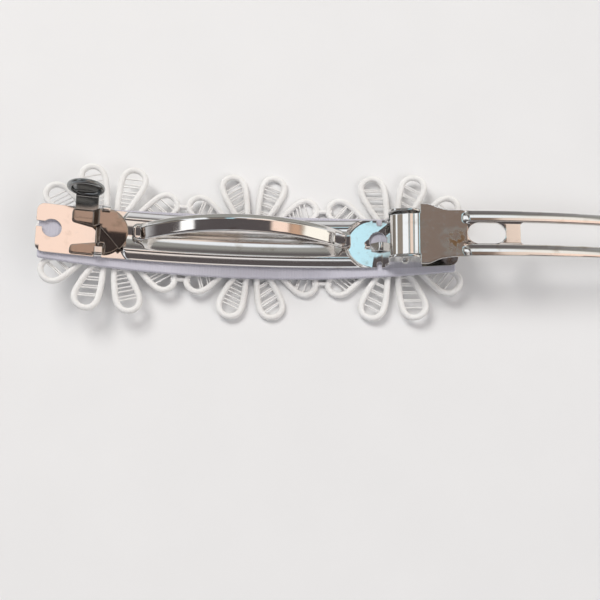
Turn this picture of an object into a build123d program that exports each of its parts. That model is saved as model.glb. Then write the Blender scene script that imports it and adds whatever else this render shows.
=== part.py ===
"""Hair barrette: a sprung steel clip with a daisy lace trim on its front, lying face down and open.

The bar is an arch about a long axis across it, so every layer is a band about that axis. The model is
worked out with that axis at the origin, the bar below it, X along the bar and Y across it. Heights are
measured inwards from the bar's top face. At the end the whole part is rocked about the axis, because the
weight of the open arm rolls the curved trim to one side, and is set down on Z = 0.
"""

import os
from math import asin, cos, degrees, radians, sin, sqrt

from build123d import *

# Arch and lie, in millimetres and degrees
top_radius = 149.5
rock_angle = 3.8

# Sheet-metal bar
sheet = 0.5
bar_span = 77.6
bar_width = 9.4
bar_corner = 1.5
keyhole_inset = 2.8
keyhole_radius = 1.7
key_slot_width = 1.05
key_slot_shift = 0.65
ridge_inset = 15.9
ridge_end_radius = 4.4
crest_offset = 2.95
crest_height = 0.95
crest_round = 0.35
toe_offset = 4.35
trough_height = 0.05

# Hinge
hinge_inset = 9.4
pivot_height = 4.0
pin_radius = 0.75
pin_head = 0.45
pin_clearance = 0.05
ear_half = 3.0
ear_above = 2.2
ear_corner = 1.6
ear_foot = 3.9
ear_foot_height = 1.9
ear_gap = 0.2
notch_length = 0.9
notch_depth = 1.1
notch_offset = 4.9
finger_hole_offset = 5.1
finger_hole_radius = 1.65
finger_hole_shift = 0.6
finger_width = 1.7
finger_shift = -0.75
finger_rise = 0.9
finger_root = 3.2
finger_tip = -1.35
finger_sheet = 0.4

# Clasp arm
arm_drop = 1.0
arm_open_angle = 180.4
barrel_length = 2.8
barrel_lip = 1.9
boss_radius = 1.35
wing_start = 3.0
wing_length = 1.2
wing_taper = 3.6
wing_half = 5.8
rail_half = 4.5
rail_half_end = 4.1
rail_crown = 0.4
rail_start = 10.6
oval_slot_start = 11.1
oval_slot_length = 6.9
oval_slot_width = 3.9
web_length = 2.7
long_slot_width = 4.1
long_slot_corner = 0.6
tip_land = 1.6
tip_taper = 3.0
tongue_half = 1.3
tongue_height = 1.08
tongue_sheet = 0.45
tongue_foot = 2.0
tongue_slope = 1.5

# Bow spring
bow_left_inset = 17.4
bow_right_inset = 19.7
bow_width = 3.3
bow_sheet = 0.4
bow_rise = 7.4
bow_side = 0.6
bow_foot = 1.5
bow_gap = 0.05
bow_eye_length = 2.2
bow_eye_width = 2.0
bow_eye_inset = 0.9
bow_slot_length = 1.0
bow_slot_width = 2.1

# Catch, its places given from its own middle
catch_inset = 10.8
catch_sheet = 0.45
catch_gap = 0.05
disc_shift = 1.23
disc_radius = 4.37
disc_back_shift = -0.2
catch_half = 4.1
seam_shift = 2.2
seam_y = -1.35
seam_angle = -46.0
seam_lap = 0.8
under_disc_inset = 0.35
plate_far_edge = 1.4
jaw_left_shift = -4.6
jaw_right_shift = -0.1
near_jaw_tip = 2.9
near_jaw_root = 1.95
near_jaw_outer = 4.4
far_jaw_tip = 1.8
far_jaw_root = 0.85
jaw_corner = 0.5
slide_low = 0.445
slide_high = 1.78
slide_bend = 0.5
slide_step_from = -0.9
slide_step_to = 0.2
hook_lap = 0.4
neck_width = 4.2
neck_place = -2.1
neck_bend = 0.9
neck_rise = 2.6
thumb_radius = 3.5
thumb_place = -2.75
thumb_offset = 7.2
thumb_height = 3.75
thumb_rim = 0.55
thumb_yaw = -4.0
lug_shift = 1.3
lug_width = 1.5
lug_fold = 0.9
lug_height = 2.35
tab_shift = 0.35
tab_width = 1.4
tab_fold = 1.5
tab_height = 0.85
tab_gap = 0.1
fold_radius = 0.35

# Ribbon and lace
lay_gap = 0.08
ribbon_thick = 1.0
ribbon_half_middle = 6.2
ribbon_half_end = 5.0
ribbon_inset = 0.4
lace_thick = 1.0
daisy_count = 3
daisy_pitch = 26.45
daisy_shift = 0.8
petal_count = 10
petal_reach = 12.2
petal_round = 2.7
petal_root_reach = 4.2
petal_root_round = 0.9
cord_width = 1.05
opening_root_reach = 6.2
opening_root_round = 0.3
eye_outer = 4.4
eye_inner = 2.0
joint_overlap = 0.3
bridge_length = 3.4
bridge_width = 0.9

# Worked out from the sizes above
bar_half = bar_width / 2
bar_end = bar_span / 2
ridge_half_span = bar_end - ridge_inset
hinge_place = bar_end - hinge_inset
bow_from = bow_left_inset - bar_end
bow_to = bar_end - bow_right_inset
catch_place = catch_inset - bar_end
disc_centre = catch_place + disc_shift
disc_back = catch_place + disc_back_shift
seam_x = catch_place + seam_shift
jaw_left = catch_place + jaw_left_shift
jaw_right = catch_place + jaw_right_shift
lug_place = catch_place + lug_shift
tab_place = catch_place + tab_shift
tool_depth = 40.0
pivot_radius = top_radius - pivot_height
hinge_angle = degrees(asin(hinge_place / top_radius))
pivot_x = pivot_radius * sin(radians(hinge_angle))
pivot_z = -pivot_radius * cos(radians(hinge_angle))
barrel_half = bar_half - sheet - ear_gap
arm_height = pivot_height - arm_drop
disc_edge = disc_centre + disc_radius
tongue_tip = disc_edge - hook_lap
arm_body_end = tongue_tip + tongue_foot + tongue_slope
ribbon_top = -sheet - lay_gap
lace_top = ribbon_top - ribbon_thick - lay_gap
lace_bottom = lace_top - lace_thick


def arc_point(x, height):
    """A point at a height above the bar's top face, as (x, z)."""
    return (x, -sqrt((top_radius - height) ** 2 - x**2))


def angle_at(x, height):
    """How far round the arch a point lies, in degrees from its middle."""
    return degrees(asin(x / (top_radius - height)))


def seat(x):
    """The place on the bar's top face above x, with its own X along the bar and Z off its face."""
    return Rot(0, -degrees(asin(x / top_radius)), 0) * Pos(0, 0, -top_radius)


def arched_sheet(x_from, x_to, low, high, width):
    """A band that follows the arch between two heights."""
    middle = (x_from + x_to) / 2
    under = ThreePointArc(*[arc_point(x, low) for x in (x_from, middle, x_to)])
    over = ThreePointArc(*[arc_point(x, high) for x in (x_to, middle, x_from)])
    ends = [Line(under @ 1, over @ 0), Line(over @ 1, under @ 0)]
    profile = make_face([*under.edges(), ends[0].edge(), *over.edges(), ends[1].edge()])
    return extrude(Plane.XZ * profile, width / 2, both=True)


def plan_tool(outline):
    """A plan outline carried up through every height of the part."""
    return extrude(Pos(0, 0, -top_radius - tool_depth / 2) * outline, tool_depth)


def box_between(x_from, x_to, y_from, y_to):
    """A plan rectangle given by its edges."""
    middle = Pos((x_from + x_to) / 2, (y_from + y_to) / 2)
    return middle * Rectangle(x_to - x_from, y_to - y_from)


def bent_strip(points, thickness, radius, width, plane):
    """A bent sheet strip: a path in a plane, given a thickness and carried to both sides."""
    face = trace(FilletPolyline(*points, radius=radius), thickness)
    return extrude(plane * face, width / 2, both=True)


def shaft(radius, length):
    """A round shaft across the bar."""
    return Rot(90, 0, 0) * Cylinder(radius, length)


# Bar


def bar_outline():
    """The bar seen from above, with the finger's hole and the hinge notches."""
    outline = RectangleRounded(bar_span, bar_width, bar_corner)
    outline -= Pos(hinge_place - finger_hole_offset, finger_hole_shift) * Circle(finger_hole_radius)
    for side in (-1, 1):
        notch = Pos(hinge_place - notch_offset, side * bar_half)
        outline -= notch * Rectangle(notch_length, 2 * notch_depth)
    return outline


def end_holes():
    """The round holes near the bar's ends, the left one with a narrow slot out to the end."""
    place = bar_end - keyhole_inset
    hole = extrude(Circle(keyhole_radius), sheet + lay_gap, both=True)
    slot_length = keyhole_inset + sheet
    slot = Pos(-slot_length / 2, key_slot_shift) * Box(slot_length, key_slot_width, 4 * sheet)
    return seat(-place) * (hole + slot) + seat(place) * hole


def ridge_section(drop):
    """The pressed section across the bar, lowered by drop: two crests and the trough between them."""
    toe = toe_offset - drop * crest_offset / toe_offset
    floor = -sheet / 2 - 2 * drop
    left_crest = (-crest_offset, crest_height - drop)
    right_crest = (crest_offset, crest_height - drop)
    trough = ThreePointArc(left_crest, (0, trough_height - drop), right_crest)
    rim = Polyline(right_crest, (toe, -drop), (toe, floor), (-toe, floor), (-toe, -drop), left_crest)
    face = make_face([*trough.edges(), *rim.edges()])
    if drop == 0:
        crests = face.vertices().sort_by(Axis.Y)[-2:]
        face = fillet(crests, crest_round)
    return Pos(0, -top_radius) * face


def ridge_body(drop):
    """The pressed section carried along the arch, between two ends with a round bite out of each."""
    half = ridge_half_span - drop
    angle = degrees(asin(half / top_radius)) + 1
    section = Rot(0, -angle, 0) * (Plane.YZ * ridge_section(drop))
    body = revolve(section, Axis.Y, 2 * angle)
    region = Rectangle(2 * half, bar_width)
    for side in (-1, 1):
        region -= Pos(side * ridge_half_span, 0) * Circle(ridge_end_radius + drop)
    return body & plan_tool(region)


def ear(side):
    """A hinge ear: a round-topped plate bent up from the bar's edge, with a foot towards the middle."""
    top = pivot_height + ear_above
    outline = box_between(-ear_half, ear_half, -sheet / 2, top)
    outline = fillet(outline.vertices().sort_by(Axis.Y)[-2:], ear_corner)
    foot = [(-ear_foot, -sheet / 2), (-ear_foot, sheet), (-ear_half, ear_foot_height)]
    outline += make_face(Polyline(*foot, (-ear_half, -sheet / 2), close=True))
    outline -= Pos(0, pivot_height) * Circle(pin_radius)
    outer = bar_half if side > 0 else -bar_half + sheet
    return Pos(0, outer, 0) * extrude(Plane.XZ * outline, sheet)


def finger():
    """The finger beside the hinge: a leaf that arches from under the barrel down into its hole."""
    path = [(finger_root, -sheet / 2), (finger_root - 2 * sheet, -sheet / 2), (sheet, finger_rise),
            (finger_tip, -sheet / 2)]
    strip = bent_strip(path, finger_sheet, fold_radius, finger_width, Plane.XZ)
    return seat(hinge_place - finger_hole_offset) * Pos(0, finger_shift, 0) * strip


def fold_over(side, height, fold, width):
    """A lug bent up at the bar's edge and folded in over the catch."""
    wall = bar_half - catch_sheet / 2
    path = [(side * wall, -sheet / 2), (side * wall, height), (side * (wall - fold), height)]
    return bent_strip(path, catch_sheet, fold_radius, width, Plane.YZ)


def base_bar():
    bar = arched_sheet(-bar_end, bar_end, -sheet, 0, bar_width) & plan_tool(bar_outline())
    bar = bar + ridge_body(0) - ridge_body(sheet) - end_holes()
    hinge = seat(hinge_place)
    for side in (-1, 1):
        bar += hinge * ear(side)
    bar += finger()
    bar += seat(lug_place) * fold_over(1, lug_height, lug_fold, lug_width)
    bar += seat(tab_place) * fold_over(-1, tab_height, tab_fold, tab_width)
    return bar


def hinge_pin():
    pin = shaft(pin_radius, bar_width + 2 * pin_head)
    pin = fillet(pin.edges().filter_by(GeomType.CIRCLE), pin_head / 2)
    return seat(hinge_place) * Pos(0, 0, pivot_height) * pin


# Clasp arm, worked out closed over the bar and then swung open


def arm_outline():
    """Half widths along the closed arm, from the hinge to the land beyond the long slot."""
    wing_end = wing_start + wing_length
    wing_middle = rail_half + (wing_half - rail_half) / 3
    halves = [
        (-barrel_length, barrel_half),
        (wing_start, barrel_half),
        (wing_start, wing_half),
        (wing_end, wing_half),
        (wing_end + wing_taper / 2, wing_middle),
        (wing_end + wing_taper, rail_half),
        (pivot_x - arm_body_end - tip_taper, rail_half_end),
        (pivot_x - arm_body_end, tongue_half),
    ]
    far = [(pivot_x - along, half) for along, half in halves]
    near = [(x, -y) for x, y in reversed(far)]
    outline = make_face(Polyline(*far, *near, close=True))
    oval_from = oval_slot_start
    oval = SlotOverall(oval_slot_length, oval_slot_width)
    outline -= Pos(pivot_x - oval_from - oval_slot_length / 2, 0) * oval
    long_from = pivot_x - oval_from - oval_slot_length - web_length
    long_to = arm_body_end + tip_land
    long_slot = RectangleRounded(long_from - long_to, long_slot_width, long_slot_corner)
    return outline - Pos((long_from + long_to) / 2, 0) * long_slot


def rail_section():
    """The arm across its rails: two shallow crowns that face the bar when the arm is closed."""
    inner = long_slot_width / 2
    middle = (inner + rail_half) / 2
    faces = []
    for side in (-1, 1):
        top = ThreePointArc((side * inner, 0), (side * middle, -rail_crown), (side * rail_half, 0))
        low = ThreePointArc((side * inner, -sheet), (side * middle, -sheet - rail_crown),
                            (side * rail_half, -sheet))
        ends = [Line(top @ 0, low @ 0).edge(), Line(top @ 1, low @ 1).edge()]
        faces.append(make_face([*top.edges(), *low.edges(), *ends]))
    land = Pos(0, -sheet / 2) * Rectangle(2 * inner, sheet)
    level = Pos(0, -top_radius + arm_height + sheet / 2)
    return level * (faces[0] + faces[1] + land)


def arm_blade():
    """The arm's sheet: flat at the hinge and shoulder, crowned along the rails."""
    low = arm_height - sheet / 2
    crown_from = pivot_x - rail_start
    flat = arched_sheet(crown_from, pivot_x + barrel_length, low, low + sheet, 2 * wing_half)
    start = angle_at(crown_from + sheet, arm_height)
    end = angle_at(arm_body_end, arm_height) - 1
    rails = revolve(Rot(0, -start, 0) * (Plane.YZ * rail_section()), Axis.Y, start - end)
    return (flat + rails) & plan_tool(arm_outline())


def barrel():
    """The hinge barrel: the lip at the arm's end and the boss round the pin."""
    edge = barrel_length - sheet / 2
    drop = -arm_drop
    path = [(0, drop), (edge, drop), (edge, drop + barrel_lip)]
    lip = bent_strip(path, sheet, 2 * sheet, 2 * barrel_half, Plane.XZ)
    boss = shaft(boss_radius, 2 * barrel_half)
    return seat(hinge_place) * Pos(0, 0, pivot_height) * (lip + boss)


def tongue():
    """The tip that steps down to pass under the catch."""
    start = arm_body_end + tongue_sheet
    points = [(start, arm_height), (arm_body_end, arm_height),
              (arm_body_end - tongue_slope, tongue_height), (tongue_tip, tongue_height)]
    path = [arc_point(x, height) for x, height in points]
    return bent_strip(path, tongue_sheet, fold_radius, 2 * tongue_half, Plane.XZ)


def clasp_arm():
    hinge = seat(hinge_place) * Pos(0, 0, pivot_height)
    blade = arm_blade()
    corner = hinge * box_outside_barrel()
    closed = blade - corner + barrel() + tongue()
    closed -= hinge * shaft(pin_radius + pin_clearance, bar_width)
    pivot = Pos(pivot_x, 0, pivot_z)
    return pivot * Rot(0, arm_open_angle, 0) * pivot.inverse() * closed


def box_outside_barrel():
    """What is cut off the flat sheet's end, where the rounded lip takes its place."""
    length = 2 * sheet + sheet / 2
    return Pos(barrel_length, 0, -arm_drop) * Box(2 * length, bar_width, 4 * sheet)


# Bow spring


def trough_rise(offset):
    """How far the trough's face has risen at an offset from its middle."""
    rise = crest_height - trough_height
    radius = (crest_offset**2 + rise**2) / (2 * rise)
    return radius - sqrt(radius**2 - offset**2)


def bow_spring():
    foot = trough_height + trough_rise(bow_side + bow_width / 2) + bow_gap + bow_sheet / 2
    left = arc_point(bow_from + bow_foot, foot)
    right = arc_point(bow_to - bow_foot, foot)
    crown = ((left[0] + right[0]) / 2, (left[1] + right[1]) / 2 + bow_rise)
    feet = [Line(arc_point(bow_from, foot), left), Line(right, arc_point(bow_to, foot))]
    path = Curve() + [feet[0], ThreePointArc(left, crown, right), feet[1]]
    strip = extrude(Plane.XZ * trace(path, bow_sheet), bow_width / 2, both=True)
    span = bow_to - bow_from
    outline = Pos((bow_from + bow_to) / 2, 0) * RectangleRounded(span, bow_width, bow_width / 3)
    eye = Rectangle(bow_eye_length, bow_eye_width)
    outline -= Pos(bow_to - bow_eye_inset - bow_eye_length / 2, 0) * eye
    slot = SlotOverall(bow_slot_width, bow_slot_length, rotation=90)
    outline -= Pos(bow_from + bow_slot_length, 0) * slot
    return Pos(0, bow_side, 0) * (strip & plan_tool(outline))


# Catch


def seam_side(side, shift):
    """A large half plane on one side of the diagonal seam between the two catch plates."""
    reach = tool_depth
    half_plane = box_between(-reach, reach, 0, side * reach) if side > 0 else box_between(
        -reach, reach, -reach, 0)
    return Pos(seam_x, seam_y) * Rot(0, 0, seam_angle) * Pos(0, shift) * half_plane


def jaw(outer, tip, root, reach):
    """A flat arm of the catch, wider at its root, with its left corners rounded."""
    corners = [(jaw_left, tip), (jaw_left, outer), (reach, outer), (reach, root)]
    outline = make_face(Polyline(*corners, close=True))
    return fillet(outline.vertices().sort_by(Axis.X)[:2], jaw_corner)


def catch_plate():
    """The fixed plate: the near jaw and the part of the round plate that shows below the seam."""
    disc = Pos(disc_centre, 0) * Circle(disc_radius - under_disc_inset)
    back = box_between(jaw_right, disc_edge, -catch_half, plate_far_edge)
    outline = disc & back & seam_side(-1, seam_lap)
    outline += jaw(-near_jaw_outer, -near_jaw_tip, -near_jaw_root, jaw_right + jaw_corner)
    notch = Rectangle(tab_width + 2 * tab_gap, 2 * (catch_sheet + tab_gap))
    outline -= Pos(tab_place, -bar_half) * notch
    low = catch_gap
    level = arched_sheet(jaw_left - 1, disc_edge + 1, low, low + catch_sheet, bar_width)
    return level & plan_tool(outline)


def thumb_disc():
    """The round thumb piece: a dished plate with a rolled rim, standing on edge."""
    rim_reach = thumb_radius - thumb_rim
    half = box_between(0, rim_reach, thumb_rim - catch_sheet, thumb_rim)
    half += Pos(rim_reach, 0) * Circle(thumb_rim)
    disc = revolve(half, Axis.Y)
    return Pos(thumb_place, thumb_offset, thumb_height) * Rot(0, 0, thumb_yaw) * disc


def catch_slide():
    """The sprung plate: far jaw, step, hook plate over the fixed one, neck and thumb disc."""
    left = jaw_left - catch_place - sheet
    right = disc_edge - catch_place + sheet
    path = [(left, slide_low), (slide_step_from, slide_low), (slide_step_to, slide_high),
            (right, slide_high)]
    strip = seat(catch_place) * bent_strip(path, catch_sheet, slide_bend, bar_width, Plane.XZ)
    disc = Pos(disc_centre, 0) * Circle(disc_radius)
    plate = box_between(disc_back - jaw_corner, disc_edge + sheet, -catch_half, catch_half)
    outline = disc & plate & seam_side(1, 0)
    outline += jaw(catch_half, far_jaw_tip, far_jaw_root, jaw_right + jaw_corner)
    neck_path = [(far_jaw_tip + catch_sheet, slide_low), (thumb_offset, slide_low),
                 (thumb_offset, neck_rise)]
    neck = bent_strip(neck_path, catch_sheet, neck_bend, neck_width, Plane.YZ)
    side = seat(catch_place) * (Pos(neck_place, 0, 0) * neck + thumb_disc())
    return (strip & plan_tool(outline)) + side


# Ribbon and lace


def ribbon_backing():
    end = bar_end - ribbon_inset
    far = ThreePointArc((-end, ribbon_half_end), (0, ribbon_half_middle), (end, ribbon_half_end))
    near = ThreePointArc((-end, -ribbon_half_end), (0, -ribbon_half_middle), (end, -ribbon_half_end))
    ends = [Line(far @ 0, near @ 0).edge(), Line(far @ 1, near @ 1).edge()]
    outline = make_face([*far.edges(), *near.edges(), *ends])
    level = arched_sheet(-end, end, ribbon_top - ribbon_thick, ribbon_top, 2 * bar_width)
    return level & plan_tool(outline)


def petal(reach, tip_round, root_reach, root_round):
    """A drop shape that points away from the daisy's middle, along +Y."""
    tip = Pos(0, reach) * Circle(tip_round)
    root = Pos(0, root_reach) * Circle(root_round)
    return make_hull([*tip.edges(), *root.edges()])


def daisy():
    """One daisy seen from above: petals as corded loops round an eye."""
    flower = Circle(eye_outer)
    openings = [Circle(eye_inner)]
    for index in range(petal_count):
        angle = 360 / petal_count * (index + 0.5)
        level = abs(sin(radians(angle))) > 0.99
        reach = daisy_pitch / 2 - petal_round + joint_overlap if level else petal_reach
        turn = Rot(0, 0, angle)
        flower += turn * petal(reach, petal_round, petal_root_reach, petal_root_round)
        hole = petal(reach, petal_round - cord_width, opening_root_reach, opening_root_round)
        openings.append(turn * hole)
    for opening in openings:
        flower -= opening
    return flower


def daisy_lace():
    first = daisy_shift - (daisy_count - 1) / 2 * daisy_pitch
    bloom = daisy()
    side_reach = petal_reach * cos(radians(1.5 * 360 / petal_count))
    outline = Pos(first, 0) * bloom
    for index in range(1, daisy_count):
        outline += Pos(first + index * daisy_pitch, 0) * bloom
        joint = first + (index - 0.5) * daisy_pitch
        for side in (-1, 1):
            outline += Pos(joint, side * side_reach) * Rectangle(bridge_length, bridge_width)
    reach = daisy_count * daisy_pitch / 2 + petal_round
    level = arched_sheet(daisy_shift - reach, daisy_shift + reach, lace_bottom, lace_top,
                         3 * (petal_reach + petal_round))
    return level & plan_tool(outline)


nodes = {
    "base_bar": base_bar(),
    "hinge_pin": hinge_pin(),
    "clasp_arm": clasp_arm(),
    "bow_spring": bow_spring(),
    "catch_plate": catch_plate(),
    "catch_slide": catch_slide(),
    "ribbon_backing": ribbon_backing(),
    "daisy_lace": daisy_lace(),
}

rocked = {name: Rot(0, rock_angle, 0) * shape for name, shape in nodes.items()}
boxes = [shape.bounding_box() for shape in rocked.values()]
x_middle = (min(box.min.X for box in boxes) + max(box.max.X for box in boxes)) / 2
set_down = Pos(-x_middle, 0, top_radius - lace_bottom)

os.makedirs("parts", exist_ok=True)
for name, shape in rocked.items():
    export_step(set_down * shape, f"parts/{name}.step")
    print(name, round(shape.volume, 2), len(shape.solids()))
print("moved by", round(-x_middle, 4), "pivot", round(pivot_x, 4), round(pivot_z, 4))
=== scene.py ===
"""A sprung steel hair barrette, lying open and face down on its daisy lace trim."""

from math import asin, cos, hypot, pi, radians, sin, sqrt

import bmesh
import bpy
from mathutils import Matrix, Vector


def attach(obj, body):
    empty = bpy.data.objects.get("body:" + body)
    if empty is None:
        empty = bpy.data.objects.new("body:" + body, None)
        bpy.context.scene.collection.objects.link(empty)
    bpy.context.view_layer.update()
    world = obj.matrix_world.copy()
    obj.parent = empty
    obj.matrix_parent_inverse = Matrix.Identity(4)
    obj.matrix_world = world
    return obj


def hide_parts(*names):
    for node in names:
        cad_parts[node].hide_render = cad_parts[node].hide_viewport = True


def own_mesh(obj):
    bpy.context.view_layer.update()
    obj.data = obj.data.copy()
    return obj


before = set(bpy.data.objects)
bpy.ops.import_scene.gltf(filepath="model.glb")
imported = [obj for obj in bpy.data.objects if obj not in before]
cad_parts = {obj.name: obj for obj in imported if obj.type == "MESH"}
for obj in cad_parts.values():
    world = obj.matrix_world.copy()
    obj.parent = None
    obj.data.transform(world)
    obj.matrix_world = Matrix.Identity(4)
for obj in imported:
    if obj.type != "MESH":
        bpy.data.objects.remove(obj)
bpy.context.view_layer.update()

# The view: the clip is seen from in front and well above, close enough that the open arm runs out of the
# picture on the right.

tilt, roll = radians(73.5), radians(0.79)
standpoint = (-0.010979, -0.078346, 0.230091)
camera = bpy.data.cameras.new("view")
camera.lens = 76.752
camera.sensor_width = 36
camera.clip_start = 0.001
viewer = bpy.data.objects.new("view", camera)
ahead = Vector((0, cos(tilt), -sin(tilt)))
upward = Vector((0, sin(tilt), cos(tilt)))
turned = Matrix((Vector((1, 0, 0)), upward, -ahead)).transposed() @ Matrix.Rotation(roll, 3, "Z")
viewer.matrix_world = Matrix.Translation(standpoint) @ turned.to_4x4()
bpy.context.scene.collection.objects.link(viewer)
bpy.context.scene.camera = viewer
bpy.context.scene.view_settings.view_transform = "Standard"

# The bar: one long strip of sheet steel, arched along its length, with two crests and a trough pressed
# into its middle to stiffen it. Its ends are pierced, the left one with a slot out to the edge, and the
# whole strip is polished and nickel plated. It carries everything else.

arch = 0.1495
arch_middle, rest_turn = (-0.0109401, 0, 0.15216), radians(3.8)
lie = Matrix.Translation(arch_middle) @ Matrix.Rotation(rest_turn, 4, "Y")


def outline(bm, *corners):
    """Draws a closed line in millimetres. A third number rounds a corner off; (x, y, steps, turn) swings
    from the last corner round the point x, y."""
    ring, rounded = [], []
    for corner in corners:
        if len(corner) == 4:
            before = len(bm.verts)
            bmesh.ops.spin(bm, geom=[ring[-1]], cent=(corner[0] / 1000, corner[1] / 1000, 0),
                           axis=(0, 0, 1), angle=radians(corner[3]), steps=corner[2])
            bm.verts.ensure_lookup_table()
            ring += bm.verts[before:]
            continue
        ring.append(bm.verts.new((corner[0] / 1000, corner[1] / 1000, 0)))
        if len(corner) == 3:
            rounded.append((ring[-1], corner[2] / 1000))
    bm.faces.new(ring)
    for vert, reach in rounded:
        bmesh.ops.bevel(bm, geom=[vert], offset=reach, offset_type="OFFSET", segments=7, profile=0.5,
                        affect="VERTICES", material=-1)


def pierce(bm, x, y, radius):
    """Draws a round hole, in millimetres."""
    bmesh.ops.create_circle(bm, segments=40, radius=radius / 1000,
                            matrix=Matrix.Translation((x / 1000, y / 1000, 0)))


def stamp(bm, low, high, ease=0.07):
    """Fills the lines as one sheet with its holes, from low to high, and eases its edges."""
    bmesh.ops.delete(bm, geom=bm.faces[:], context="FACES_ONLY")
    bmesh.ops.triangle_fill(bm, use_beauty=False, use_dissolve=True, edges=bm.edges[:], normal=(0, 0, 1))
    bmesh.ops.translate(bm, vec=(0, 0, low / 1000), verts=bm.verts[:])
    grown = bmesh.ops.extrude_face_region(bm, geom=bm.faces[:])["geom"]
    raised = [part for part in grown if isinstance(part, bmesh.types.BMVert)]
    bmesh.ops.translate(bm, vec=(0, 0, (high - low) / 1000), verts=raised)
    bmesh.ops.recalc_face_normals(bm, faces=bm.faces[:])
    rim = [edge for edge in bm.edges if edge.calc_face_angle(0) > 1.2
           and abs(edge.verts[0].co.z - edge.verts[1].co.z) < 1e-7]
    bmesh.ops.bevel(bm, geom=rim, offset=ease / 1000, offset_type="OFFSET", segments=3, profile=0.5,
                    affect="EDGES", material=-1, clamp_overlap=False)


def slices(bm, axis, places, within=None):
    """Cuts the mesh into strips at places along an axis, so that it can bend there."""
    normal = Vector((0, 0, 0))
    normal[axis] = 1
    for place in places:
        parts = bm.faces[:]
        if within:
            low, high = within[0] / 1000, within[1] / 1000
            parts = [face for face in parts if low < face.calc_center_median().x < high]
        edges = dict.fromkeys(edge for face in parts for edge in face.edges)
        verts = dict.fromkeys(vert for edge in edges for vert in edge.verts)
        bmesh.ops.bisect_plane(bm, geom=[*verts, *edges, *parts], dist=1e-7,
                               plane_co=normal * place / 1000, plane_no=normal)


def steps(start, end, pitch):
    """Evenly spaced places from start to end."""
    count = max(1, round((end - start) / pitch))
    return [start + (end - start) * index / count for index in range(count + 1)]


def wrap(bm, place=lie):
    """Takes a flat layout onto the arch: X along it, Y across it, Z above the bar's top face."""
    for vert in bm.verts:
        x, y, height = vert.co
        vert.co = place @ Vector((x, y, -sqrt((arch - height) ** 2 - x * x)))


def seat(along):
    """The place on the bar's top face that lies along millimetres from its middle."""
    return lie @ Matrix.Rotation(-asin(along / 1000 / arch), 4, "Y") @ Matrix.Translation((0, 0, -arch))


def made(name, bm, finish, body, crease=38):
    """Turns a mesh into a finished piece that shades smoothly, with creases only at sharp bends."""
    mesh = bpy.data.meshes.new(name)
    bm.to_mesh(mesh)
    bm.free()
    mesh.shade_smooth()
    mesh.set_sharp_from_angle(angle=radians(crease))
    mesh.materials.append(finish)
    piece = bpy.data.objects.new(name, mesh)
    bpy.context.scene.collection.objects.link(piece)
    even = piece.modifiers.new("even shading", "WEIGHTED_NORMAL")
    even.keep_sharp = True
    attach(piece, body)
    return piece


class Amount:
    """A number that varies over a surface: the output of one of a finish's nodes."""

    def __init__(self, finish, socket):
        self.finish, self.socket = finish, socket

    def __add__(self, other):
        return self.finish.maths("ADD", self, other)

    def __mul__(self, other):
        return self.finish.maths("MULTIPLY", self, other)

    __radd__, __rmul__ = __add__, __mul__


class Finish:
    """A material, or the light all round, put together from nodes."""

    def __init__(self, owner):
        owner.use_nodes = True
        self.owner, self.tree = owner, owner.node_tree
        self.surface = self.tree.nodes.get("Principled BSDF")
        self.place = self.node("ShaderNodeTexCoord", output="Object")

    def node(self, kind, settings=None, output=0, **sockets):
        """Adds a node: its settings first, then what its sockets take."""
        fresh = self.tree.nodes.new(kind)
        for key, value in (settings or {}).items():
            if key == "stops":
                while len(fresh.color_ramp.elements) < len(value):
                    fresh.color_ramp.elements.new(1)
                for stop, (position, colour) in zip(fresh.color_ramp.elements, value):
                    stop.position, stop.color = position, (*colour, 1)
            else:
                setattr(fresh, key, value)
        for key, value in sockets.items():
            wanted = int(key[1:]) if key[0] == "s" and key[1:].isdigit() else key.replace("_", " ")
            self.put(fresh.inputs[wanted], value)
        return Amount(self, fresh.outputs[output])

    def put(self, socket, value):
        """Feeds a socket with a number, a colour or another node's output."""
        if isinstance(value, Amount):
            self.tree.links.new(value.socket, socket)
        else:
            socket.default_value = value

    def maths(self, operation, first, second):
        return self.node("ShaderNodeMath", {"operation": operation}, s0=first, s1=second)

    def colours(self, amount, low, high):
        """Goes from one colour to another by an amount."""
        return self.node("ShaderNodeMix", {"data_type": "RGBA"}, output=2, s0=amount, s6=low, s7=high)

    def between(self, amount, low, high):
        """How far an amount is from low to high, eased at both ends."""
        return self.node("ShaderNodeMapRange", {"interpolation_type": "SMOOTHSTEP"}, Value=amount,
                         From_Min=low, From_Max=high)

    def grain(self, scale, detail, stretch=(1, 1, 1)):
        """Cloudy variation, scale features to the metre, drawn out by stretch."""
        place = self.node("ShaderNodeMapping", Vector=self.place, Scale=stretch)
        return self.node("ShaderNodeTexNoise", Vector=place, Scale=scale, Detail=detail)

    def relief(self, height, depth, under=None):
        """Raises the surface by a height from 0 to 1, at most depth metres."""
        sockets = {"Height": height, "Distance": depth}
        if under:
            sockets["Normal"] = under
        return self.node("ShaderNodeBump", **sockets)


def plated(name, tint=(0.86, 0.84, 0.82, 1), cloud=(0.66, 0.6, 0.54, 1), shine=0.07):
    """Polished nickel plate: faint waves from pressing, fine rubbing marks along it, a thin warm cloud."""
    finish = Finish(bpy.data.materials.new(name))
    waves = finish.grain(190, 1.0)
    rubs = finish.grain(900, 4.0, (0.25, 5, 5))
    film = finish.between(finish.grain(330, 5.0), 0.55, 0.85)
    smear = finish.between(finish.grain(1400, 3.0), 0.55, 0.8)
    surface = finish.surface
    finish.put(surface.inputs["Base Color"], finish.colours(film, tint, cloud))
    finish.put(surface.inputs["Roughness"], shine + rubs * 0.05 + film * 0.08 + smear * 0.06)
    finish.put(surface.inputs["Normal"], finish.relief(rubs, 0.8e-6, finish.relief(waves, 9e-6)))
    surface.inputs["Metallic"].default_value = 1.0
    return finish.owner


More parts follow.
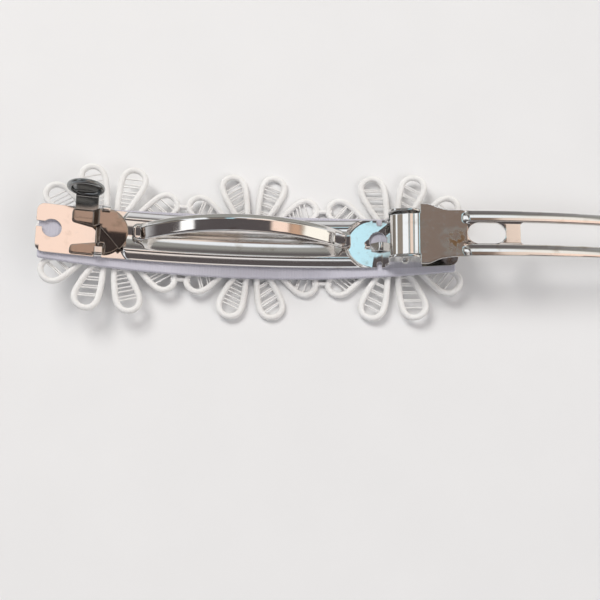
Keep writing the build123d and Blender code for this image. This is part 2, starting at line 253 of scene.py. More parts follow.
sheet = 0.5
half_length, half_width, bar_corner = 38.8, 4.7, 1.5
finger_hole, end_hole = 24.3, 36
notch_left, notch_right, notch_floor = 24.05, 24.95, 3.6
crest, crest_lift, trough_floor, trough_curve = 2.95, 0.95, 0.05, 1.7
flank_slope, knee_drop, knee_reach, toe = 0.4, 0.22, 0.55, 4.75
ridge_start, start_curve, ridge_end, bite, run_out = -24.2, 0.08, 22.9, 4.4, 0.55
dent_start, dent_end, dent_depth, dent_length = 22, 26.6, 0.25, 1.4
dent_from, dent_way = (22.6, 0.9), (0.647, -0.762)


def eased(amount):
    """An amount held between 0 and 1, with its start and end made gentle."""
    held = min(1, max(0, amount))
    return held**2 * (3 - 2 * held)


def pressed(x, y):
    """How high the pressed bar stands at a point, in millimetres: the mean of five places across it, so
    that no bend is sharp. The crests end round the finger's hole, and a dent is drawn in beside it."""
    heights = []
    for shift in (-0.3, -0.15, 0, 0.15, 0.3):
        across = abs(y) + shift * min(1, abs(y) / 2)
        if across < crest:
            heights.append(trough_floor + (crest_lift - trough_floor) * (across / crest) ** trough_curve)
        else:
            flank = crest_lift - flank_slope * (across - crest)
            foot = (crest_lift - knee_drop) * (toe - across) / (toe - crest - knee_reach)
            heights.append(max(0, min(flank, foot)))
    from_start = x - ridge_start - start_curve * y * y
    inside = min(from_start, ridge_end - x, hypot(x - ridge_end, y) - bite) / run_out
    into_dent = dent_way[0] * (x - dent_from[0]) + dent_way[1] * (y - dent_from[1])
    dent = dent_depth * min(dent_length, max(0, into_dent)) * min(1, max(0, (y + 1) / 0.5))
    dent *= dent_start < x < dent_end
    return sum(heights) / len(heights) * eased(inside) - dent


bar = bmesh.new()
outline(bar, (half_length, -half_width, bar_corner), (half_length, half_width, bar_corner),
        (notch_right, half_width), (notch_right, notch_floor, 0.3), (notch_left, notch_floor, 0.3),
        (notch_left, half_width), (-half_length, half_width, bar_corner), (-half_length, 1.175, 0.2),
        (-37.228, 1.175), (-end_hole, 0, 40, -320.5), (-half_length, 0.125, 0.2),
        (-half_length, -half_width, bar_corner), (notch_left, -half_width), (notch_left, -notch_floor, 0.3),
        (notch_right, -notch_floor, 0.3), (notch_right, -half_width))
pierce(bar, end_hole, 0, 1.7)
pierce(bar, finger_hole, 0.6, 1.65)
stamp(bar, -sheet, 0)
slices(bar, 0, [*steps(-38, -25, 1), *steps(-24.3, -22, 0.16), *steps(-21.5, 17, 1),
                *steps(18.2, 26.7, 0.16), *steps(27, 38, 1)])
dented = (23.2, 26.7)
slices(bar, 1, steps(-4.6, 4.6, 0.18), within=(-24.5, dented[0]))
slices(bar, 1, steps(-1.2, 3.8, 0.2), within=dented)
for vert in bar.verts:
    vert.co.z += pressed(vert.co.x * 1000, vert.co.y * 1000) / 1000
wrap(bar)
bar_plate = made("bar_plate", bar, plated("nickel on bar"), "bar")
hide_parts("base_bar")

# The hinge ears, the finger, the guide lug and the crimp tab: all cut from the bar's own sheet and bent
# up from it. The ears carry the pin, the finger springs up out of its hole under the arm's barrel, and
# the lug and the tab are folded in over the two halves of the catch.


def upright(along, across):
    """Stands a flat layout on its edge beside the bar, its X along the bar and its Y upwards."""
    turn = Matrix(((1, 0, 0, 0), (0, 0, -1, across / 1000), (0, 1, 0, 0), (0, 0, 0, 1)))
    return seat(along) @ turn


def ribbon_of_steel(bm, path, width, bends):
    """Draws a strip of sheet along a path of (x, z) points and rounds its bends by the reaches given."""
    half = width / 2000
    verts = [bm.verts.new((x / 1000, -half, z / 1000)) for x, z in path]
    line = [bm.edges.new(pair) for pair in zip(verts, verts[1:])]
    grown = bmesh.ops.extrude_edge_only(bm, edges=line)["geom"]
    bmesh.ops.translate(bm, vec=(0, 2 * half, 0),
                        verts=[part for part in grown if isinstance(part, bmesh.types.BMVert)])
    for vert, reach in list(zip(verts[1:-1], bends)):
        across = [edge for edge in vert.link_edges if abs(edge.verts[0].co.y - edge.verts[1].co.y) > half]
        bmesh.ops.bevel(bm, geom=across, offset=reach / 1000, offset_type="OFFSET", segments=8,
                        profile=0.5, affect="EDGES", material=-1, clamp_overlap=False)


def thicken(piece, thickness):
    """Gives a sheet its thickness, evenly to both sides, and eases its edges, before it is shaded."""
    wall = piece.modifiers.new("wall", "SOLIDIFY")
    wall.thickness = thickness / 1000
    wall.offset = 0
    edges = piece.modifiers.new("eased edges", "BEVEL")
    edges.width = 0.00007
    edges.segments = 3
    edges.limit_method = "ANGLE"
    edges.angle_limit = radians(50)
    piece.modifiers.move(0, len(piece.modifiers) - 1)


hinge_along, pin_height = 29.4, 4.0
nickel_fittings = plated("nickel on fittings", (0.74, 0.74, 0.73, 1), (0.5, 0.47, 0.42, 1), 0.1)

for name, across in (("far_ear", 4.71), ("near_ear", -4.21)):
    ear = bmesh.new()
    outline(ear, (3, -0.25), (3, 6.2, 1.6), (-3, 6.2, 1.6), (-3, 1.9), (-3.9, 0.5, 0.2), (-3.9, -0.25))
    stamp(ear, 0, sheet, 0.09)
    slices(ear, 0, steps(-3.5, 2.5, 1))
    bmesh.ops.transform(ear, matrix=upright(hinge_along, across), verts=ear.verts)
    made(name, ear, nickel_fittings, "bar")

finger = bmesh.new()
ribbon_of_steel(finger, [(3.2, -0.25), (2.2, -0.25), (0.5, 0.9), (-1.35, -0.25)], 1.7, [0.3, 0.5])
finger_place = seat(finger_hole) @ Matrix.Translation((0, -0.00075, 0))
bmesh.ops.transform(finger, matrix=finger_place, verts=finger.verts)
thicken(made("finger", finger, nickel_fittings, "bar"), 0.4)

wall = half_width - 0.225
for name, along, width, side, height, fold in (("guide_lug", -26.7, 1.5, 1, 2.35, 0.9),
                                               ("crimp_tab", -27.65, 1.4, -1, 0.85, 1.5)):
    lug = bmesh.new()
    ribbon_of_steel(lug, [(wall, -0.25), (wall, height), (wall - fold, height)], width, [0.42])
    turn = Matrix.Rotation(side * pi / 2, 4, "Z")
    bmesh.ops.transform(lug, matrix=seat(along) @ turn, verts=lug.verts)
    bmesh.ops.recalc_face_normals(lug, faces=lug.faces[:])
    thicken(made(name, lug, nickel_fittings, "bar"), 0.45)

# The hinge pin: a steel wire through both ears and the arm's barrel, its ends headed over outside the
# ears and dimpled by the tool that set them.

half_pin, half_wire = 5.15, 0.75
head = [(0, half_pin - 0.2), (0.34, half_pin - 0.05), (0.6, half_pin), (half_wire, half_pin - 0.16),
        (half_wire, 0)]

pin = bmesh.new()
line = [pin.verts.new((radius / 1000, along / 1000, 0)) for radius, along in head]
for pair in zip(line, line[1:]):
    pin.edges.new(pair)
bmesh.ops.mirror(pin, geom=pin.verts[:] + pin.edges[:], axis="Y", merge_dist=1e-6)
bmesh.ops.spin(pin, geom=pin.verts[:] + pin.edges[:], cent=(0, 0, 0), axis=(0, 1, 0), angle=2 * pi,
               steps=40, use_merge=True)
bmesh.ops.remove_doubles(pin, verts=pin.verts[:], dist=1e-6)
bmesh.ops.recalc_face_normals(pin, faces=pin.faces[:])
pin_place = seat(hinge_along) @ Matrix.Translation((0, 0, pin_height / 1000))
bmesh.ops.transform(pin, matrix=pin_place, verts=pin.verts)
pin_piece = made("hinge_wire", pin, nickel_fittings, "bar")
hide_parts("hinge_pin")

# The bow: a strip of spring steel that stands up in an arch over the trough. One foot has a slot and the
# other a square eye, and the closing arm presses it flat, so that it pushes the arm open again.

bow_left, bow_right, half_bow, bow_corner = -21.4, 19.1, 1.65, 1.1
bow_across, half_strip = 0.6, 0.2
foot_height, foot_bend = 0.803, 0.05
crown = (-1.15, -140.1055)


def arch_depth(x, height):
    """The Z of the arch at x, in millimetres from the arch's axis."""
    return -sqrt((arch * 1000 - height) ** 2 - x * x)


spring_ends = [(x, arch_depth(x, foot_height)) for x in (-19.9, 17.6)]
half_chord = (spring_ends[1][0] - spring_ends[0][0]) / 2
rise = crown[1] - (spring_ends[0][1] + spring_ends[1][1]) / 2
bow_radius = (half_chord**2 + rise**2) / (2 * rise)


def bow_line(x):
    """The Z of the bow's middle layer at x: its feet lie along the arch, and a tight bend lifts it."""
    offset = x - crown[0]
    lean = (spring_ends[1][1] - spring_ends[0][1]) / (2 * half_chord) * offset
    over = crown[1] - bow_radius + sqrt(max(0, bow_radius**2 - offset**2)) + lean
    foot = arch_depth(x, foot_height)
    return (over + foot + sqrt((over - foot) ** 2 + foot_bend)) / 2


def rolled(y):
    """How the bow's strip is rounded over at its two long edges, in millimetres: three slopes, one after
    another across it, with the bends between them softened."""
    places = (y - 0.12, y, y + 0.12)
    return sum(min(0.096 * place, 0.072 - 0.27 * (place - 0.75), 0.4 * (place + 1.3) - 0.125)
               for place in places) / 3


bow = bmesh.new()
outline(bow, *((x, y, bow_corner) for x, y in ((bow_right, -half_bow), (bow_right, half_bow),
                                               (bow_left, half_bow), (bow_left, -half_bow))))
outline(bow, (18.2, -1, 0.15), (18.2, 1, 0.15), (16, 1, 0.15), (16, -1, 0.15))
outline(bow, (-19.9, -1.05, 0.45), (-19.9, 1.05, 0.45), (-20.9, 1.05, 0.45), (-20.9, -1.05, 0.45))
stamp(bow, -half_strip, half_strip, 0.13)
slices(bow, 0, [*steps(-21.2, -18.4, 0.2), *steps(-18, 16, 0.5), *steps(16.4, 18.9, 0.2)])
slices(bow, 1, steps(-1.5, 1.5, 0.12))
for vert in bow.verts:
    x, y, height = vert.co * 1000
    slope = (bow_line(x + 0.05) - bow_line(x - 0.05)) / 0.1
    leaning = hypot(1, slope)
    height += rolled(y)
    spot = Vector((x - height * slope / leaning, y + bow_across, bow_line(x) + height / leaning))
    vert.co = lie @ (spot / 1000)
bow_strip = made("bow_strip", bow, plated("nickel on bow", shine=0.05), "bar")
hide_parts("bow_spring")
foot_point = lie @ (Vector((bow_right, 0, arch_depth(bow_right, 0.6))) / 1000)
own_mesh(bow_strip)

# The fixed half of the catch: a thin steel plate held down by the crimp tab, with the near jaw on its left
# and a round back that rises and runs under the sliding half.

# The catch's nickel is tinted dark brown: a painted reflection of the dark brown that the polished catch
# mirrors.
catch_metal_painted_dark = plated("nickel on catch with painted dark reflection", (0.36, 0.3, 0.26, 1), (0.24, 0.2, 0.16, 1), 0.1)
rise_start, rise_length, rise_height, rise_lean = -28.05, 0.9, 0.79, 0.12
tab_far, tab_right, tab_room = -2.75, -26.75, 0.6

fixed = bmesh.new()
outline(fixed, (-32.6, -2.9, 0.5), (-28.1, -2.045), (-28.1, 1.4), (-27.35, 1.4), (-23.6, -2.474),
        (-25.38, -4.748, 2.85), (-27.6, -3.95), (-27.6, -4.15), (-28.45, -4.15), (-28.45, -4.4),
        (-32.6, -4.4, 0.5))
stamp(fixed, 0.05, 0.5)
slices(fixed, 0, [*steps(-32, -29, 1), *steps(-28.1, -26, 0.15), *steps(-25.5, -23, 0.5)])
slices(fixed, 1, steps(-4.2, 1.2, 0.3))
for vert in fixed.verts:
    x, y = vert.co.x * 1000, vert.co.y * 1000
    past_jaw = eased((x - rise_start) / rise_length)
    clear_of_tab = eased(max(y - tab_far, x - tab_right) / tab_room)
    vert.co.z += (rise_height + rise_lean * y) * past_jaw * clear_of_tab / 1000
wrap(fixed)
catch_back = made("catch_back", fixed, catch_metal_painted_dark, "bar")
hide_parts("catch_plate")

# The sliding half of the catch: one sheet that carries the far jaw, steps up over the fixed half as a
# round hook plate, and turns up at the side as a neck. The thumb disc with its rolled rim is riveted to
# the neck. A push on it frees the arm's tip.

catch_along = -28.0
step_start, step_length, step_height = -28.9, 1.1, 1.335
dish_start, dish_knee, dish_curve, dish_slope = 0.3, 1.8, 0.05, 0.18

sliding = bmesh.new()
outline(sliding, (-32.6, 4.1, 0.5), (-32.6, 1.8, 0.5), (-27.6, 0.85), (-27.6, 0.512), (-23.911, -3.304),
        (-22.024, -1.671, 2.45), (-22.921, 3.241, 2.45), (-25.26, 4.1))
stamp(sliding, 0.22, 0.67, 0.11)
slices(sliding, 0, [*steps(-32, -29.4, 1), *steps(-29.1, -27.5, 0.1), *steps(-27, -23, 0.8)])
slices(sliding, 1, steps(-3, 3.6, 0.6))
for vert in sliding.verts:
    up_step = min(1, max(0, (vert.co.x * 1000 - step_start) / step_length))
    near = max(0, dish_start - vert.co.y * 1000) * up_step
    sunk = dish_curve * min(near, dish_knee) ** 2 + dish_slope * max(0, near - dish_knee)
    vert.co.z += (step_height * eased(up_step) - sunk) / 1000
    vert.co.x -= catch_along / 1000
bmesh.ops.transform(sliding, matrix=seat(catch_along), verts=sliding.verts)
hook_plate = made("hook_plate", sliding, catch_metal_painted_dark, "catch")

# The thumb piece's nickel is tinted dark grey: a painted reflection of the dark that the polished disc and
# neck mirror.
thumb_metal_painted_dark = plated("dull nickel on thumb piece with painted dark reflection", (0.32, 0.33, 0.33, 1), (0.2, 0.19, 0.18, 1), 0.16)

neck = bmesh.new()
ribbon_of_steel(neck, [(2.25, 0.445), (7.2, 0.445), (7.2, 2.6)], 4.2, [0.9])
neck_place = seat(catch_along) @ Matrix.Translation((-0.0021, 0, 0)) @ Matrix.Rotation(pi / 2, 4, "Z")
bmesh.ops.transform(neck, matrix=neck_place, verts=neck.verts)
thicken(made("thumb_neck", neck, thumb_metal_painted_dark, "catch"), 0.45)

thumb = bmesh.new()
saucer = [(0, 0.42), (1.2, 0.4), (2.3, 0.32), (2.62, 0.28), (2.56, 0.38)]
underside = [(2.3, -0.1), (1.2, 0.02), (0, 0.05)]
line = [thumb.verts.new((radius / 1000, depth / 1000, 0)) for radius, depth in saucer]
bmesh.ops.spin(thumb, geom=[line[-1]], cent=(0.00295, 0, 0), axis=(0, 0, 1), angle=radians(-315), steps=14)
thumb.verts.ensure_lookup_table()
rim = thumb.verts[len(saucer):]
back = [thumb.verts.new((radius / 1000, depth / 1000, 0)) for radius, depth in underside]
chain = [*line, *rim, *back]
for pair in zip(chain, chain[1:]):
    if not thumb.edges.get(pair):
        thumb.edges.new(pair)
bmesh.ops.spin(thumb, geom=thumb.verts[:] + thumb.edges[:], cent=(0, 0, 0), axis=(0, 1, 0), angle=2 * pi,
               steps=56, use_merge=True)
bmesh.ops.remove_doubles(thumb, verts=thumb.verts[:], dist=1e-6)
bmesh.ops.recalc_face_normals(thumb, faces=thumb.faces[:])
thumb_place = Matrix.Translation((-0.00275, 0.0072, 0.00375)) @ Matrix.Rotation(radians(-4), 4, "Z")
bmesh.ops.transform(thumb, matrix=seat(catch_along) @ thumb_place, verts=thumb.verts)
made("thumb_disc", thumb, thumb_metal_painted_dark, "catch")
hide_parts("catch_slide")

# The arm: a slotted blade of sheet steel that folds over the bar. Its end is bent down round a roll on the
# pin, its shoulders stand out past the ears, its two rails are crowned, and its tip steps down to a tongue
# that snaps under the catch. It lies swung right over, so the face that closes on the bar looks up.

pivot_x, pivot_z, open_turn = 28.6134, -142.6588, radians(180.4)
pivot = Matrix.Translation((pivot_x / 1000, 0, pivot_z / 1000))
swung = lie @ pivot @ Matrix.Rotation(open_turn, 4, "Y") @ pivot.inverted()
arm_height, arm_sheet = 3.0, 0.5
body_end = -19.3
tip = pivot_x - body_end
slot_start, slot_end, slot_half = 13.05, 16.05, 1.95
window_start, window_end, window_half = 20.7, tip - 1.6, 2.05
nickel_arm = plated("nickel on arm", (0.84, 0.82, 0.79, 1), (0.6, 0.52, 0.44, 1), 0.06)
worn = Finish(nickel_arm)
flat_place = worn.node("ShaderNodeVectorMath", {"operation": "MULTIPLY"}, s0=worn.place, s1=(1, 1, 0))
off = worn.node("ShaderNodeVectorMath", {"operation": "DISTANCE"}, output=1, s0=flat_place,
                s1=(0.0175, -0.0014, 0))
rust = worn.between(off, 0.0042, 0.0006) * worn.between(worn.grain(900, 5.0), 0.42, 0.62)
clean, sheen = (worn.surface.inputs[key].links[0].from_socket for key in ("Base Color", "Roughness"))
brown = (0.4, 0.24, 0.13, 1)
worn.put(worn.surface.inputs["Base Color"], worn.colours(rust, Amount(worn, clean), brown))
worn.put(worn.surface.inputs["Roughness"], Amount(worn, sheen) + rust * 0.3)


def from_pivot(*corners):
    """Corners given by their distance from the hinge, turned into places along the bar."""
    return [(pivot_x - corner[0], *corner[1:]) for corner in corners]


arm = bmesh.new()
far_side = from_pivot((-3.7, 4.0), (2.55, 4.0, 0.3), (2.55, 5.8, 0.3), (4.2, 5.8, 0.5), (6.0, 4.93, 1.2),
                      (7.8, 4.5, 1.5), (tip - 3.0, 4.1, 1.0), (tip, 1.3, 0.6))
near_side = [(x, -y, *rest) for x, y, *rest in reversed(far_side)]
outline(arm, *far_side, *near_side)
outline(arm, *from_pivot((slot_start, slot_half), (slot_end, slot_half), (slot_end, 0, 16, 180),
                         (slot_start, -slot_half), (slot_start, 0, 15, 168.75)))
outline(arm, *from_pivot((window_start, -window_half, 0.6), (window_start, window_half, 0.6),
                         (window_end, window_half, 0.6), (window_end, -window_half, 0.6)))
stamp(arm, arm_height - arm_sheet / 2, arm_height + arm_sheet / 2, 0.09)
slices(arm, 0, [*steps(pivot_x - 12.4, pivot_x - 9.2, 0.2), *steps(pivot_x - 9, pivot_x - 3.4, 0.5),
                *steps(pivot_x - 3.0, pivot_x + 3.5, 0.16), *steps(body_end + 0.5, pivot_x - 13, 1)])
slices(arm, 1, [*steps(1.8, 4.5, 0.12), *steps(-4.5, -1.8, 0.12), *steps(4.7, 5.6, 0.15),
                *steps(-5.6, -4.7, 0.15)])
rail_start, rail_middle, rail_inside, rail_outside = 12.1, 3.0, 1.8, 4.5
rail_swell = 0.33


def crowned(along, across):
    """How far the rails swell towards the bar, in millimetres. Each starts in a rounded end beside the
    slot, and is nearly flat across until it falls away to one side."""
    lead = max(0, rail_start - along)
    rounding = 0.9 * (abs(across) - rail_middle) * min(1, lead / 1.5)
    start = min(1, max(0, (1.9 - hypot(lead, rounding)) / 1.1))
    inner = min(1, max(0, (abs(across) - rail_inside) / 0.4))
    near_edge = window_half if across > 0 else -rail_outside
    places = [across + shift - near_edge for shift in (-0.1, 0, 0.1)]
    swells = [min(rail_swell + 0.02 * place, rail_swell - 0.163 * (place - 0.9), 0.24 - 0.45 * (place - 1.45))
              for place in places]
    return sum(swells) / 3 * start * inner


flats = ((2.2, 1.4, 0.19), (1.4, 0.55, -0.2), (0.55, -0.6, 0.19))
lip_slope, lip_curve = 0.04, 0.02


def seam(along):
    """How high the sheet stands over the pin, in millimetres: it leans one way and the other in flats,
    each from a start to an end with a slope, and then curves on to the lip."""
    total = 0
    for shift in (-0.1, 0, 0.1):
        at = along + shift
        for start, end, slope in flats:
            total += slope * (start - min(start, max(at, end)))
        past_flats = max(0, flats[-1][1] - at)
        total += lip_slope * past_flats + lip_curve * past_flats**2
    return total / 3


slope_end, slope_start, slope_curve = 10.6, 2.35, 0.004
lip_start, lip_bend = pivot_x + 1.55, 1.0
for vert in arm.verts:
    x, y, height = vert.co * 1000
    along = pivot_x - x
    height -= crowned(along, y)
    height -= slope_curve * max(0, slope_end - max(along, slope_start)) ** 2
    height += seam(along)
    past = x - lip_start
    if past > 0:
        turn = min(past / lip_bend, pi / 2)
        inward = lip_bend - (height - arm_height)
        x = lip_start + inward * sin(turn)
        height = arm_height + lip_bend - inward * cos(turn) + max(0, past - lip_bend * pi / 2)
    vert.co = Vector((x, y, height)) / 1000
wrap(arm, swung)
arm_blade = made("arm_blade", arm, nickel_arm, "arm")
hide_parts("clasp_arm")

roll_radius, roll_length = 0.0012, 0.0078
boss = bmesh.new()
bmesh.ops.create_cone(boss, cap_ends=True, segments=40, radius1=roll_radius, radius2=roll_radius,
                      depth=roll_length, matrix=Matrix.Rotation(pi / 2, 4, "X"))
bmesh.ops.bevel(boss, geom=[edge for edge in boss.edges if edge.calc_face_angle(0) > 1], offset=0.0001,
                offset_type="OFFSET", segments=3, profile=0.5, affect="EDGES", material=-1)
bmesh.ops.transform(boss, matrix=swung @ lie.inverted() @ pin_place, verts=boss.verts)
made("arm_boss", boss, nickel_fittings, "arm")

tongue = bmesh.new()
tongue_height, tongue_end = 1.08, -22.8
tongue_path = [(body_end + 0.45, arm_height), (body_end, arm_height), (body_end - 1.5, tongue_height),
               (tongue_end, tongue_height)]
ribbon_of_steel(tongue, [(x, arch_depth(x, height)) for x, height in tongue_path], 2.6, [0.15, 0.2])
bmesh.ops.transform(tongue, matrix=swung, verts=tongue.verts)
thicken(made("arm_tongue", tongue, nickel_arm, "arm"), 0.45)

# The ribbon: a smooth woven strip between the bar and the lace, a little wider than the bar in the
# middle, glued along both.

ribbon_end, ribbon_half, ribbon_taper = 38.4, 6.2, 1.2
end_half = ribbon_half - ribbon_taper
ribbon_shift = 0.55

ribbon = bmesh.new()
outline(ribbon, (ribbon_end, -end_half, 0.4), (ribbon_end, end_half, 0.4), (0, ribbon_half),
        (-ribbon_end, end_half, 0.4), (-ribbon_end, -end_half, 0.4), (0, -ribbon_half))
stamp(ribbon, -1.5, -0.62, 0.3)
slices(ribbon, 0, steps(-38, 38, 1))
for vert in ribbon.verts:
    share = abs(vert.co.x) * 1000 / ribbon_end
    straight = ribbon_half - ribbon_taper * share
    bowed = ribbon_half - ribbon_taper * share**2
    vert.co.y = vert.co.y * bowed / straight - ribbon_shift / 1000
wrap(ribbon)


def woven():
    """A white ribbon painted lilac-grey, which is painted shade with a bluish cast: fine ribs across it and a
    soft sheen.
    """
    finish = Finish(bpy.data.materials.new("woven ribbon in painted shade"))
    ribs = finish.node("ShaderNodeTexWave", {"wave_type": "BANDS", "bands_direction": "X"},
                       output=1, Vector=finish.place, Scale=620.0, Distortion=1.2, Detail=2.0)
    cloud = finish.grain(160, 4.0)
    # The ribbon is white; this lilac-grey is painted shade with a bluish cast.
    finish.put(finish.surface.inputs["Base Color"],
               finish.colours(cloud, (0.5, 0.49, 0.57, 1), (0.66, 0.65, 0.72, 1)))
    finish.put(finish.surface.inputs["Roughness"], 0.55 + cloud * 0.2)
    finish.put(finish.surface.inputs["Normal"], finish.relief(ribs, 0.03e-3))
    finish.surface.inputs["Sheen Weight"].default_value = 0.3
    return finish.owner


ribbon_piece = made("ribbon_strip", ribbon, woven(), "bar")
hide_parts("ribbon_backing")

# The lace: three daisies of cotton, each with ten petals that are corded loops round an eye. Threads cross
# the petals like ladder rungs, thick satin stitches wrap the cords, and short bridges join the flowers.

petals, rungs_each = 10, 8
flower_pitch, trim_middle, lace_middle = 26.45, 0.8, -2.16
cord_half, petal_half, petal_reach, meeting_gap = 0.58, 2.7, 12.2, 0.3
rung_start, root = 6.6, 4.2
thread_half, bridge_half, bridge_length, bridge_across = 0.00016, 0.00042, 0.0036, 0.00717
eye_radius, eye_half, eye_wide, eye_high = 0.0032, 0.00062, 1.9, 0.8


def cord_loop(points):
    """A lace cord through points, closed on itself, as a mesh."""
    curve = bpy.data.curves.new("cord", "CURVE")
    curve.dimensions = "3D"
    curve.bevel_depth = cord_half / 1000
    curve.bevel_resolution = 3
    curve.resolution_u = 5
    spline = curve.splines.new("NURBS")
    spline.points.add(len(points) - 1)
    for point, (x, y, z) in zip(spline.points, points):
        point.co = (x / 1000, y / 1000, z / 1000, 1)
    spline.use_cyclic_u = True
    spline.order_u = 4
    holder = bpy.data.objects.new("cord", curve)
    mesh = bpy.data.meshes.new_from_object(holder)
    bpy.data.objects.remove(holder)
    return mesh


def sew_on(lace, mesh):
    """Adds a mesh to the lace, and drops the mesh."""
    lace.from_mesh(mesh)
    bpy.data.meshes.remove(mesh)


def as_mesh(bm):
    """Takes a part's mesh out of its bmesh, and frees that."""
    mesh = bpy.data.meshes.new("lace part")
    bm.to_mesh(mesh)
    bm.free()
    return mesh


def petal_line(reach):
    """The middle of a petal's cord, from its root round its tip and back."""
    wide = petal_half - cord_half
    one_side = [(0.55, 4.6), (0.95, 6.2), (1.55, 8.2), (wide + 0.02, reach - 0.9), (wide + 0.05, reach + 0.6),
                (wide * 0.72, reach + wide * 0.9), (0, reach + wide * 1.16)]
    other_side = [(-x, y) for x, y in reversed(one_side[:-1])]
    return [(x, y, lace_middle) for x, y in one_side + other_side]


lace = bmesh.new()
threads = bmesh.new()
on_its_side = Matrix.Rotation(pi / 2, 4, "Y")
for flower in range(3):
    middle = trim_middle + (flower - 1) * flower_pitch
    for index in range(petals):
        angle = 2 * pi / petals * (index + 0.5)
        meets_next = abs(sin(angle)) > 0.99
        reach = flower_pitch / 2 - petal_half + meeting_gap if meets_next else petal_reach
        place = Matrix.Translation((middle / 1000, 0, 0)) @ Matrix.Rotation(angle, 4, "Z")
        ring = cord_loop(petal_line(reach))
        ring.transform(place)
        sew_on(lace, ring)
        slant = Matrix.Rotation(0.35 * sin(5 * index + 2.3 * flower), 4, "Z")
        for rung in range(rungs_each):
            unevenness = 0.25 * sin(7 * index + 3 * rung + flower)
            along = rung_start + rung * (reach - rung_start + 1) / rungs_each + unevenness
            half = 0.35 + 1.75 * min(1, (along - root) / (reach - root))
            spot = Matrix.Translation((0, along / 1000, (lace_middle + 0.05) / 1000))
            bmesh.ops.create_cone(threads, cap_ends=False, segments=6, radius1=thread_half,
                                  radius2=thread_half, depth=2 * half / 1000,
                                  matrix=place @ spot @ slant @ on_its_side)
    eye = bmesh.new()
    upright_ring = Matrix.Translation((eye_radius, 0, 0)) @ Matrix.Rotation(pi / 2, 4, "X")
    bmesh.ops.create_circle(eye, segments=14, radius=eye_half, matrix=upright_ring)
    bmesh.ops.scale(eye, vec=(eye_wide, 1, eye_high), space=Matrix.Translation((-eye_radius, 0, 0)),
                    verts=eye.verts)
    bmesh.ops.spin(eye, geom=eye.verts[:] + eye.edges[:], cent=(0, 0, 0), axis=(0, 0, 1), angle=2 * pi,
                   steps=60, use_merge=True)
    bmesh.ops.translate(eye, vec=(middle / 1000, 0, lace_middle / 1000), verts=eye.verts)
    sew_on(lace, as_mesh(eye))
for joint in (-0.5, 0.5):
    for side in (-1, 1):
        spot = ((trim_middle + joint * flower_pitch) / 1000, side * bridge_across, lace_middle / 1000)
        bridge = bmesh.new()
        bmesh.ops.create_cone(bridge, cap_ends=True, segments=10, radius1=bridge_half, radius2=bridge_half,
                              depth=bridge_length, matrix=Matrix.Translation(spot) @ on_its_side)
        sew_on(lace, as_mesh(bridge))
bmesh.ops.recalc_face_normals(lace, faces=lace.faces[:])
wrap(lace)


def cotton():
    """Off-white cotton: satin stitches lie across each cord, with soft fluff between them."""
    finish = Finish(bpy.data.materials.new("cotton lace"))
    strands = finish.grain(2600, 3.0)
    cloud = finish.grain(240, 4.0)
    finish.put(finish.surface.inputs["Base Color"],
               finish.colours(cloud, (0.8, 0.78, 0.76, 1), (0.93, 0.93, 0.92, 1)))
    finish.put(finish.surface.inputs["Roughness"], 0.75 + strands * 0.2)
    finish.put(finish.surface.inputs["Normal"], finish.relief(strands, 0.12e-3))
    finish.surface.inputs["Sheen Weight"].default_value = 0.35
    return finish.owner


cotton_thread = cotton()
lace_piece = made("lace_daisies", lace, cotton_thread, "bar", crease=60)
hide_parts("daisy_lace")
wrap(threads)
rungs = made("lace_threads", threads, cotton_thread, "bar", crease=60)

# The floor is plain and pale. Two soft lights hang over it, the key light on the left behind the clip, and
# the room all round is dim with broad pale bands and soft panels, which is what the polished steel shows.

ground = bmesh.new()
bmesh.ops.create_grid(ground, x_segments=1, y_segments=1, size=1.5)
floor_mesh = bpy.data.meshes.new("floor")
ground.to_mesh(floor_mesh)
ground.free()
floor = bpy.data.objects.new("floor", floor_mesh)
bpy.context.scene.collection.objects.link(floor)
paper = Finish(bpy.data.materials.new("pale paper"))
paper.put(paper.surface.inputs["Base Color"],
          paper.colours(paper.grain(60, 4.0), (0.8, 0.8, 0.805, 1), (0.84, 0.84, 0.845, 1)))
paper.surface.inputs["Roughness"].default_value = 0.85
floor_mesh.materials.append(paper.owner)


def soft_light(name, spot, size, power, colour):
    """A square soft light at a spot, turned to face the clip. The steel doesn't mirror it."""
    lamp = bpy.data.lights.new(name, "AREA")
    lamp.size = size
    lamp.energy = power
    lamp.color = colour
    holder = bpy.data.objects.new(name, lamp)
    holder.visible_glossy = False
    facing = (-Vector(spot)).to_track_quat("-Z", "Y").to_matrix().to_4x4()
    holder.matrix_world = Matrix.Translation(spot) @ facing
    bpy.context.scene.collection.objects.link(holder)


soft_light("key light", (-0.35, 0.45, 0.75), 0.45, 5.4, (1.0, 0.98, 0.95))
soft_light("fill light", (0.5, -0.35, 0.7), 0.5, 2.0, (0.93, 0.96, 1.0))

room = bpy.data.worlds.new("room")
bpy.context.scene.world = room
around = Finish(room)
direction = around.node("ShaderNodeTexCoord", output="Generated")


def panel(light, facing, wide, soft, colour):
    """Adds a round panel to the room, wide degrees out from its middle and soft degrees more to its edge."""
    facing = Vector(facing).normalized()
    close = around.node("ShaderNodeVectorMath", {"operation": "DOT_PRODUCT"}, output=1, s0=direction,
                        s1=tuple(facing))
    mask = around.between(close, cos(radians(wide + soft)), cos(radians(wide)))
    return around.colours(mask, light, colour)


def band(along, start, full, fading, end):
    """A soft band of the room, from start to end along a direction, whole between full and fading."""
    return around.between(along, start, full) * around.between(along, end, fading)


side, depth, up = (around.node("ShaderNodeSeparateXYZ", output=index, Vector=direction) for index in range(3))

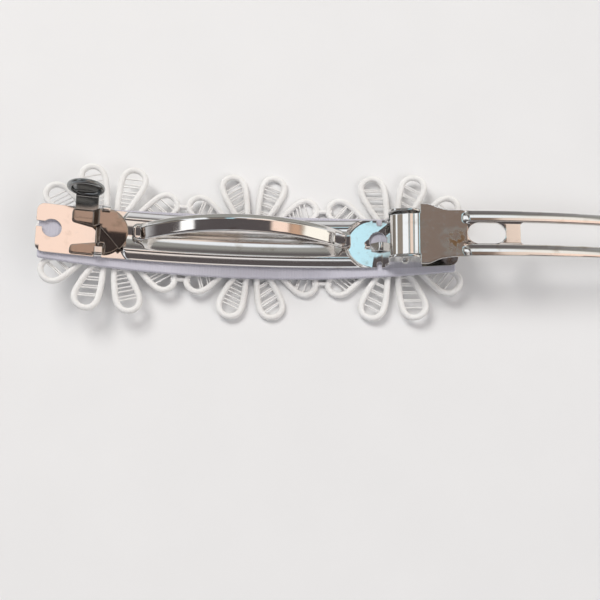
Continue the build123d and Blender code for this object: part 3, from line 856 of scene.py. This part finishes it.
# The dark room, pale at the horizon behind, with a grey wall far behind and a white one in front.
dim, horizon, grey = (0.1, 0.088, 0.09, 1), (0.8, 0.81, 0.83, 1), (0.34, 0.34, 0.32, 1)
cool_white, warm_white = (0.95, 1.0, 1.06, 1), (0.95, 0.85, 0.78, 1)
light = around.colours(around.between(up, 0.42, 0.12) * around.between(depth, -0.4, 0.05), dim, horizon)
light = around.colours(band(depth, 0.6, 0.68, 0.8, 0.93), light, grey)
glow = around.colours(around.between(side, -0.15, 0.3), cool_white, warm_white)
light = around.colours(band(depth, -0.62, -0.52, -0.38, -0.3), light, glow)

# A row of coloured cards behind, which the flat parts of the arched bar show one after another: blue by
# the hinge, then dark, then peach at the left end.
brown_card, blue_card = (0.33, 0.28, 0.24), (0.66, 1.02, 1.16)
shadow, peach_card = (0.24, 0.18, 0.15), (1.15, 0.87, 0.73)
row = around.node("ShaderNodeValToRGB", {"stops": [
    (0.0, (0.2, 0.18, 0.16)), (0.3, (0.3, 0.27, 0.23)), (0.425, brown_card), (0.44, blue_card),
    (0.482, blue_card), (0.492, shadow), (0.56, (0.22, 0.16, 0.13)), (0.575, (0.9, 0.74, 0.64)),
    (0.64, (1.0, 0.82, 0.72)), (0.67, peach_card), (0.72, (1.1, 0.85, 0.72)), (0.78, (0.9, 0.85, 0.75)),
    (1.0, (0.5, 0.48, 0.45))]}, Fac=side * 0.5 + 0.5)
light = around.colours(band(depth, 0.22, 0.27, 0.42, 0.5), light, row)

# Round panels and a strip, for the bright and warm glints on the bent edges, the bow and the shoulder.
light = panel(light, (0.105, 0.574, 0.812), 6, 5, (0.95, 1.0, 1.05, 1))
light = panel(light, (0.33, 0.53, 0.78), 6, 5, (1.0, 0.97, 0.93, 1))
strip = band(side, -0.64, -0.6, -0.39, -0.34) * band(depth, 0.2, 0.25, 0.63, 0.68)
light = around.colours(strip, light, (1.05, 1.1, 1.15, 1))
light = panel(light, (-0.71, 0.05, 0.7), 4, 3, (1.3, 1.3, 1.3, 1))
light = panel(light, (-0.62, 0.18, 0.76), 4, 3, (1.3, 1.3, 1.3, 1))
light = panel(light, (0.56, 0.14, 0.8), 5, 4, (1.1, 0.85, 0.72, 1))
light = panel(light, (0.73, 0.08, 0.66), 5, 4, (0.65, 0.42, 0.29, 1))
light = panel(light, (0.9, 0.15, 0.34), 12, 6, (1.15, 1.1, 1.0, 1))
backdrop = around.tree.nodes["Background"]
around.put(backdrop.inputs["Color"], light)
backdrop.inputs["Strength"].default_value = 1.0
